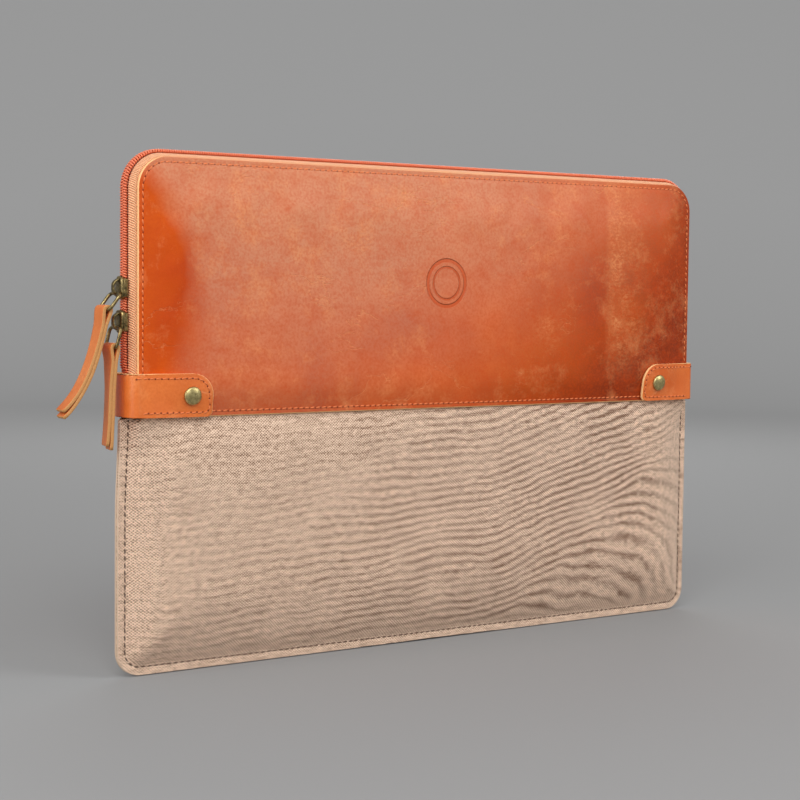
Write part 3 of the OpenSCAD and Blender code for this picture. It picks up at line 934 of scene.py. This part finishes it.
def rivets():
    """Domed caps with a rolled rim, and their posts and inner caps through the leather."""
    cap_low, cap_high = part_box("rivet_caps")
    cap_r = (cap_high.z - cap_low.z) / 2
    x, z = cap_high.x - cap_r, (cap_high.z + cap_low.z) / 2
    cap_h = 2.1 * MM
    rim_h = 0.45 * MM
    dome = [(cap_r * math.cos(a), rim_h + (cap_h - rim_h) * math.sin(a)) for a in np.linspace(0.1, 1.55, 12)]
    rim = [(cap_r * 0.7, -0.2 * MM), (cap_r, -0.1 * MM), (cap_r * 1.02, 0.2 * MM)]
    under = -2 * LEATHER
    post = [(1.5 * MM, under - 0.1 * MM), (1.5 * MM, 0)]
    back = [(cap_r - 0.8 * MM, under - 1 * MM), (cap_r - 0.5 * MM, under - 0.8 * MM),
            (cap_r - 0.5 * MM, under - 0.2 * MM)]
    for name, profile, material, sides, node in (
            ("rivet_domes", rim + dome, CAP_MAT, 40, "rivet_caps"),
            ("rivet_shanks", post, BRASS_MAT, 20, "rivet_posts"),
            ("rivet_burrs", back, BRASS_MAT, 28, "rivet_inner_caps")):
        parts = []
        for hand in (-1, 1):
            for side in (FRONT, BACK):
                where, away = on_face([hand * x], [z], side, leather_depth)
                foot = where[0] + away[0] * (LEATHER + 0.1 * MM)
                parts.append(lathe(profile, foot, away[0], material, sides))
        carry(joined(name, parts), "sleeve", "antique_brass", node)


# ---------- sliders, rings and pulls ----------

PLATE = 1.5 * MM                 # thickness of a slider's outer plate


def rounded_block(low, high, bevel, material, name="block", segments=3):
    """A box with rounded edges."""
    b = bmesh.new()
    bmesh.ops.create_cube(b, size=1)
    size = Vector(high) - Vector(low)
    bmesh.ops.scale(b, vec=size, verts=b.verts)
    bmesh.ops.translate(b, vec=(Vector(low) + Vector(high)) / 2, verts=b.verts)
    bmesh.ops.bevel(b, geom=b.edges[:], offset=bevel, segments=segments, profile=0.6, affect="EDGES")
    mesh = bpy.data.meshes.new(name)
    b.to_mesh(mesh)
    b.free()
    mesh.materials.append(material)
    mesh.polygons.foreach_set("use_smooth", [True] * len(mesh.polygons))
    return new_object(name, mesh)


def slider_plate(x_out, x_in, half_w, half_l, middle, nose):
    """A slider's outer plate: a shield that is widest at its nose and pinched towards its tail, and domed."""
    outline = []
    for a in around(48):
        along = rounded(math.sin(a), 0.75)
        wide = rounded(math.cos(a), 0.6) * (0.86 + 0.14 * nose * along)
        outline.append((wide * half_w, along * half_l))
    levels = [(x_in + 0.9 * MM, 0.9), (x_in + 0.9 * MM, 0.985), (x_in, 1.0), (x_out + 0.45 * MM, 0.99),
              (x_out + 0.12 * MM, 0.9), (x_out, 0.74), (x_out - 0.1 * MM, 0.3)]
    points = [(x, y * k, middle + z * k) for x, k in levels for y, z in outline]
    return face_out(add_mesh("plate", points, stack_faces(len(levels), len(outline)), [BRASS_MAT]))


def rounded(value, power):
    """A sine or cosine bent so that the outline it draws is nearer to a rectangle."""
    return math.copysign(abs(value) ** power, value)


def slider(name, nose):
    """The slider's metal over its CAD box. nose is 1 when it points up."""
    low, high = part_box(f"{name}_slider_body")
    middle = (low.z + high.z) / 2
    half_l, half_w = (high.z - low.z) / 2, (high.y - low.y) / 2
    plate_in = low.x + PLATE
    parts = [slider_plate(low.x, plate_in, half_w, half_l, middle, nose)]

    # The web in the gap between the coils, the back plate, and the side flanges that close round the coil
    web_z = middle + nose * 3 * MM
    blocks = [((plate_in - 0.1 * MM, -0.35 * MM, web_z - 1.5 * MM),
               (high.x - 0.4 * MM, 0.35 * MM, web_z + 1.5 * MM), 0.1 * MM),
              ((high.x - 1.2 * MM, -half_w + 0.3 * MM, middle - half_l),
               (high.x, half_w - 0.3 * MM, middle + half_l), 0.4 * MM)]
    for f in (-1, 1):
        y0, y1 = sorted((f * (half_w - 1.0 * MM), f * (half_w - 0.15 * MM)))
        blocks.append(((plate_in - 0.2 * MM, y0, middle - half_l + 1.2 * MM),
                       (plate_in + 1.9 * MM, y1, middle + half_l - 1.2 * MM), 0.3 * MM))
    parts += [rounded_block(*block, BRASS_MAT) for block in blocks]
    body = joined(f"{name}_slider_metal", parts)
    carry(body, f"{name}_slider", "antique_brass", f"{name}_slider_body")


def slider_crown(name):
    """A flat bar that rises from the slider's tail, runs over the ring and drops to its nose."""
    low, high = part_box(f"{name}_slider_crown")
    body_low, body_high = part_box(f"{name}_slider_body")
    middle = (body_low.z + body_high.z) / 2
    half_l, width, thick = (high.z - low.z) / 2, (high.y - low.y) / 2, 0.55 * MM
    rise = high.x - low.x
    path = [(high.x - (rise - thick) * (1 - abs(t) ** 3.2), (half_l - thick) * t)
            for t in np.linspace(-1, 1, 28)]
    foot = body_low.x + PLATE
    path = np.array([(foot, path[0][1])] + path + [(foot, path[-1][1])])
    ahead = unit(np.gradient(path, axis=0))
    section = [(rounded(math.cos(a), 0.5) * thick, rounded(math.sin(a), 0.6) * width) for a in around(20)]
    points = []
    for k, ((x, z), (dx, dz)) in enumerate(zip(path, ahead)):
        narrow = 1 - 0.22 * (1 - abs(2 * k / (len(path) - 1) - 1))
        points += [(x + dz * a, y * narrow, middle + z - dx * a) for a, y in section]
    faces = stack_faces(len(path), len(section))
    crown = face_out(add_mesh(f"{name}_crown_metal", points, faces, [BRASS_MAT]))
    carry(crown, f"{name}_slider", "antique_brass", f"{name}_slider_crown")


def joint_place(name):
    return next(np.array(j["pos_m"], float) for j in frame["joints"] if j["name"] == name)


def pull_ring(name):
    """Round wire bent to a rectangle, from the crown down to the leather."""
    top, bar = joint_place(f"{name}_ring_swing"), joint_place(f"{name}_pull_swing")
    length = np.linalg.norm(bar - top)
    down = (bar - top) / length
    low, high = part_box(f"{name}_pull_ring")
    wire = 0.85 * MM
    half = (high.y - low.y) / 2 - wire
    r = 2.6 * MM
    corner = [(half - r + r * math.sin(a), r - r * math.cos(a)) for a in quarter(6)]
    right = corner + [(y, length - s) for y, s in corner[::-1]]
    outline = right + [(-y, s) for y, s in right[::-1]]
    path = [top + np.array((0, y, 0)) + down * s for y, s in outline]
    ring = tube(f"{name}_ring_wire", path, wire, BRASS_MAT, closed=True)
    carry(ring, f"{name}_ring", "antique_brass", f"{name}_pull_ring")


def strap_path(leans, length, spread, thick, loop_r):
    """The middle line of a folded strap and the line that it hangs along, as (x, z) from the ring's bar."""
    steps = 30
    t = np.linspace(0, 1, steps + 1)
    lean = np.radians(leans[0] + (leans[1] - leans[0]) * t ** 2)
    mid = (lean[:-1] + lean[1:]) / 2
    moves = np.stack([-np.sin(mid), -np.cos(mid)], -1) * length / steps
    centre = np.concatenate([[(0, 0)], np.cumsum(moves, axis=0)])
    eye = (loop_r - thick / 2) * (1 - smoothstep(t / 0.14))
    gap = thick / 2 + eye + spread * smoothstep((t - 0.72) / 0.28)
    apart = gap[:, None] * np.stack([np.cos(lean), -np.sin(lean)], -1)
    up = math.pi / 2 - lean[0]
    half_turn = math.pi / 2 + 0.05
    round_bar = np.linspace(up - half_turn, up + half_turn, 13)
    loop = loop_r * np.stack([np.cos(round_bar), np.sin(round_bar)], -1)
    return np.concatenate([(centre + apart)[:0:-1], loop, (centre - apart)[1:-1]]), centre


def pull_strap(name, leans, length, spread, twist):
    """One strip of leather that runs up, round the ring's bar and down again. leans are its angles from
    straight down at the eye and at the tip, in degrees. length is from eye to tip, spread is how far its two
    ends part, and twist turns it as it hangs."""
    bar = joint_place(f"{name}_pull_swing")
    low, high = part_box(f"{name}_pull_strap")
    half_w, thick = (high.y - low.y) / 2, 1.6 * MM
    path, centre = strap_path(leans, length, spread, thick, 1.72 * MM)
    ahead = unit(np.gradient(path, axis=0))
    outward = np.stack([ahead[:, 1], -ahead[:, 0]], -1)
    from_tip = np.minimum(np.arange(len(path)), np.arange(len(path))[::-1]) / 3
    width = half_w * (0.9 + 0.1 * np.sqrt(1 - np.maximum(1 - from_tip, 0) ** 2))
    half_widths = np.linspace(-1, 1, 9)
    across_strap = width[:, None] * half_widths

    def face(sign):
        """Points of one face, turned about the line that the strap hangs along."""
        x, z = (path + outward * sign * thick / 2).T
        turn = (math.radians(twist) * smoothstep(-z / (22 * MM)))[:, None]
        spine = np.interp(-z, -centre[:, 1], centre[:, 0])
        off = (x - spine)[:, None]
        turned_x = spine[:, None] + off * np.cos(turn) + across_strap * np.sin(turn)
        turned_y = across_strap * np.cos(turn) - off * np.sin(turn)
        height = np.repeat(z[:, None], len(half_widths), 1)
        return np.stack([bar[0] + turned_x, turned_y, bar[2] + height], -1)

    strap = solid_between(f"{name}_pull_leather", face(1), face(-1), PULL_MAT, PULL_EDGE_MAT, 0.2 * MM)
    carry(strap, f"{name}_pull", "pull_leather", f"{name}_pull_strap")


def end_stops():
    """Brass stops at both ends of the coil."""
    low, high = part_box("zip_end_stops")
    depth = coil_high.x - HALF_W
    parts = []
    for hand in (-1, 1):
        x0, x1 = sorted((hand * (high.x - 1.6 * MM), hand * (high.x - 1.6 * MM - depth)))
        parts.append(rounded_block((x0, low.y, low.z), (x1, high.y, high.z), 0.4 * MM, BRASS_MAT))
    stops = joined("end_stop_metal", parts)
    carry(stops, "sleeve", "antique_brass", "zip_end_stops")


# ---------- stage ----------

CAMERA_AT = (-538 * MM, -759 * MM, 186.7 * MM)
CAMERA_YAW, CAMERA_PITCH, CAMERA_ROLL = math.radians(34.3), math.radians(3.62), math.radians(0.62)
CAMERA_LENS = 78.8


def camera():
    aim = Matrix.Rotation(-CAMERA_YAW, 4, "Z") @ Matrix.Rotation(math.pi / 2 - CAMERA_PITCH, 4, "X")
    data = bpy.data.cameras.new("camera")
    data.sensor_width = 36
    data.lens = CAMERA_LENS
    data.clip_start, data.clip_end = 0.05, 50
    obj = new_object("camera", data)
    obj.matrix_world = Matrix.Translation(CAMERA_AT) @ aim @ Matrix.Rotation(CAMERA_ROLL, 4, "Z")
    bpy.context.scene.camera = obj


def area_light(name, where, target, size, power):
    data = bpy.data.lights.new(name, "AREA")
    data.shape = "RECTANGLE"
    data.size, data.size_y = size
    data.energy = power
    obj = new_object(name, data)
    obj.location = where
    obj.rotation_euler = (Vector(target) - Vector(where)).to_track_quat("-Z", "Y").to_euler()


def stage():
    grey = Nodes("stage_grey")
    place = grey.add("ShaderNodeTexCoord", "Object")
    away = grey.add("ShaderNodeVectorMath", "Value", {0: place}, operation="LENGTH")
    # The floor glows so that it looks evenly bright, but less near the sleeve, as a painted shadow round it
    glow_and_painted_shadow = grey.spread(away, 0.3, 2.6, 0.03, 0.185)
    grey.finish((0.26, 0.26, 0.26, 1), 0.95, specular=0.02)
    grey.shader.inputs["Emission Color"].default_value = (1, 1, 1, 1)
    grey.feed(grey.shader.inputs["Emission Strength"], glow_and_painted_shadow)
    half, wall, rise, bend = 9.0, 2.6, 3.0, 0.8
    profile = [(-half, 0)] + [(wall - bend + bend * math.sin(a), bend - bend * math.cos(a))
                              for a in quarter(16)] + [(wall, rise)]
    points = [(x, y, z - 0.0005) for y, z in profile for x in (-half, half)]
    faces = [(2 * k, 2 * k + 1, 2 * k + 3, 2 * k + 2) for k in range(len(profile) - 1)]
    floor = add_mesh("floor", points, faces, [grey.material])
    floor.rotation_euler = (0, 0, -CAMERA_YAW)
    world = bpy.data.worlds.new("world")
    world.use_nodes = True
    background = world.node_tree.nodes["Background"].inputs
    background["Color"].default_value = (1, 1, 1, 1)
    background["Strength"].default_value = 0.45
    bpy.context.scene.world = world
    area_light("key", (-0.75, -0.9, 1.15), (0, 0, 0.13), (0.9, 0.9), 13)
    area_light("sheen", (0.55, -0.75, 0.75), (0, 0, 0.18), (0.5, 0.9), 5)
    area_light("left_fill", (-1.1, -0.1, 0.5), (-0.17, 0, 0.15), (0.6, 0.8), 4)
    area_light("back_fill", (0.7, 1.0, 0.9), (0, 0, 0.13), (0.9, 0.9), 6)
    bpy.context.scene.view_settings.view_transform = "Standard"


# ---------- build ----------

for which in (FRONT, BACK):
    leather_panel(which)
    canvas_panel(which)
    padding(which)
    zip_tape(which)
    zip_coil(which)
    leather_stitches(which)
    canvas_stitches(which)
for which in (-1, 1):
    tab(which)
tab_stitches()
rivets()
end_stops()
slider("upper", -1)
slider("lower", 1)
for which in ("upper", "lower"):
    slider_crown(which)
    pull_ring(which)
pull_strap("upper", (12, 50), 55 * MM, 0.4 * MM, 4)
pull_strap("lower", (1, 5), 48 * MM, 0.2 * MM, 12)
stage()
camera()
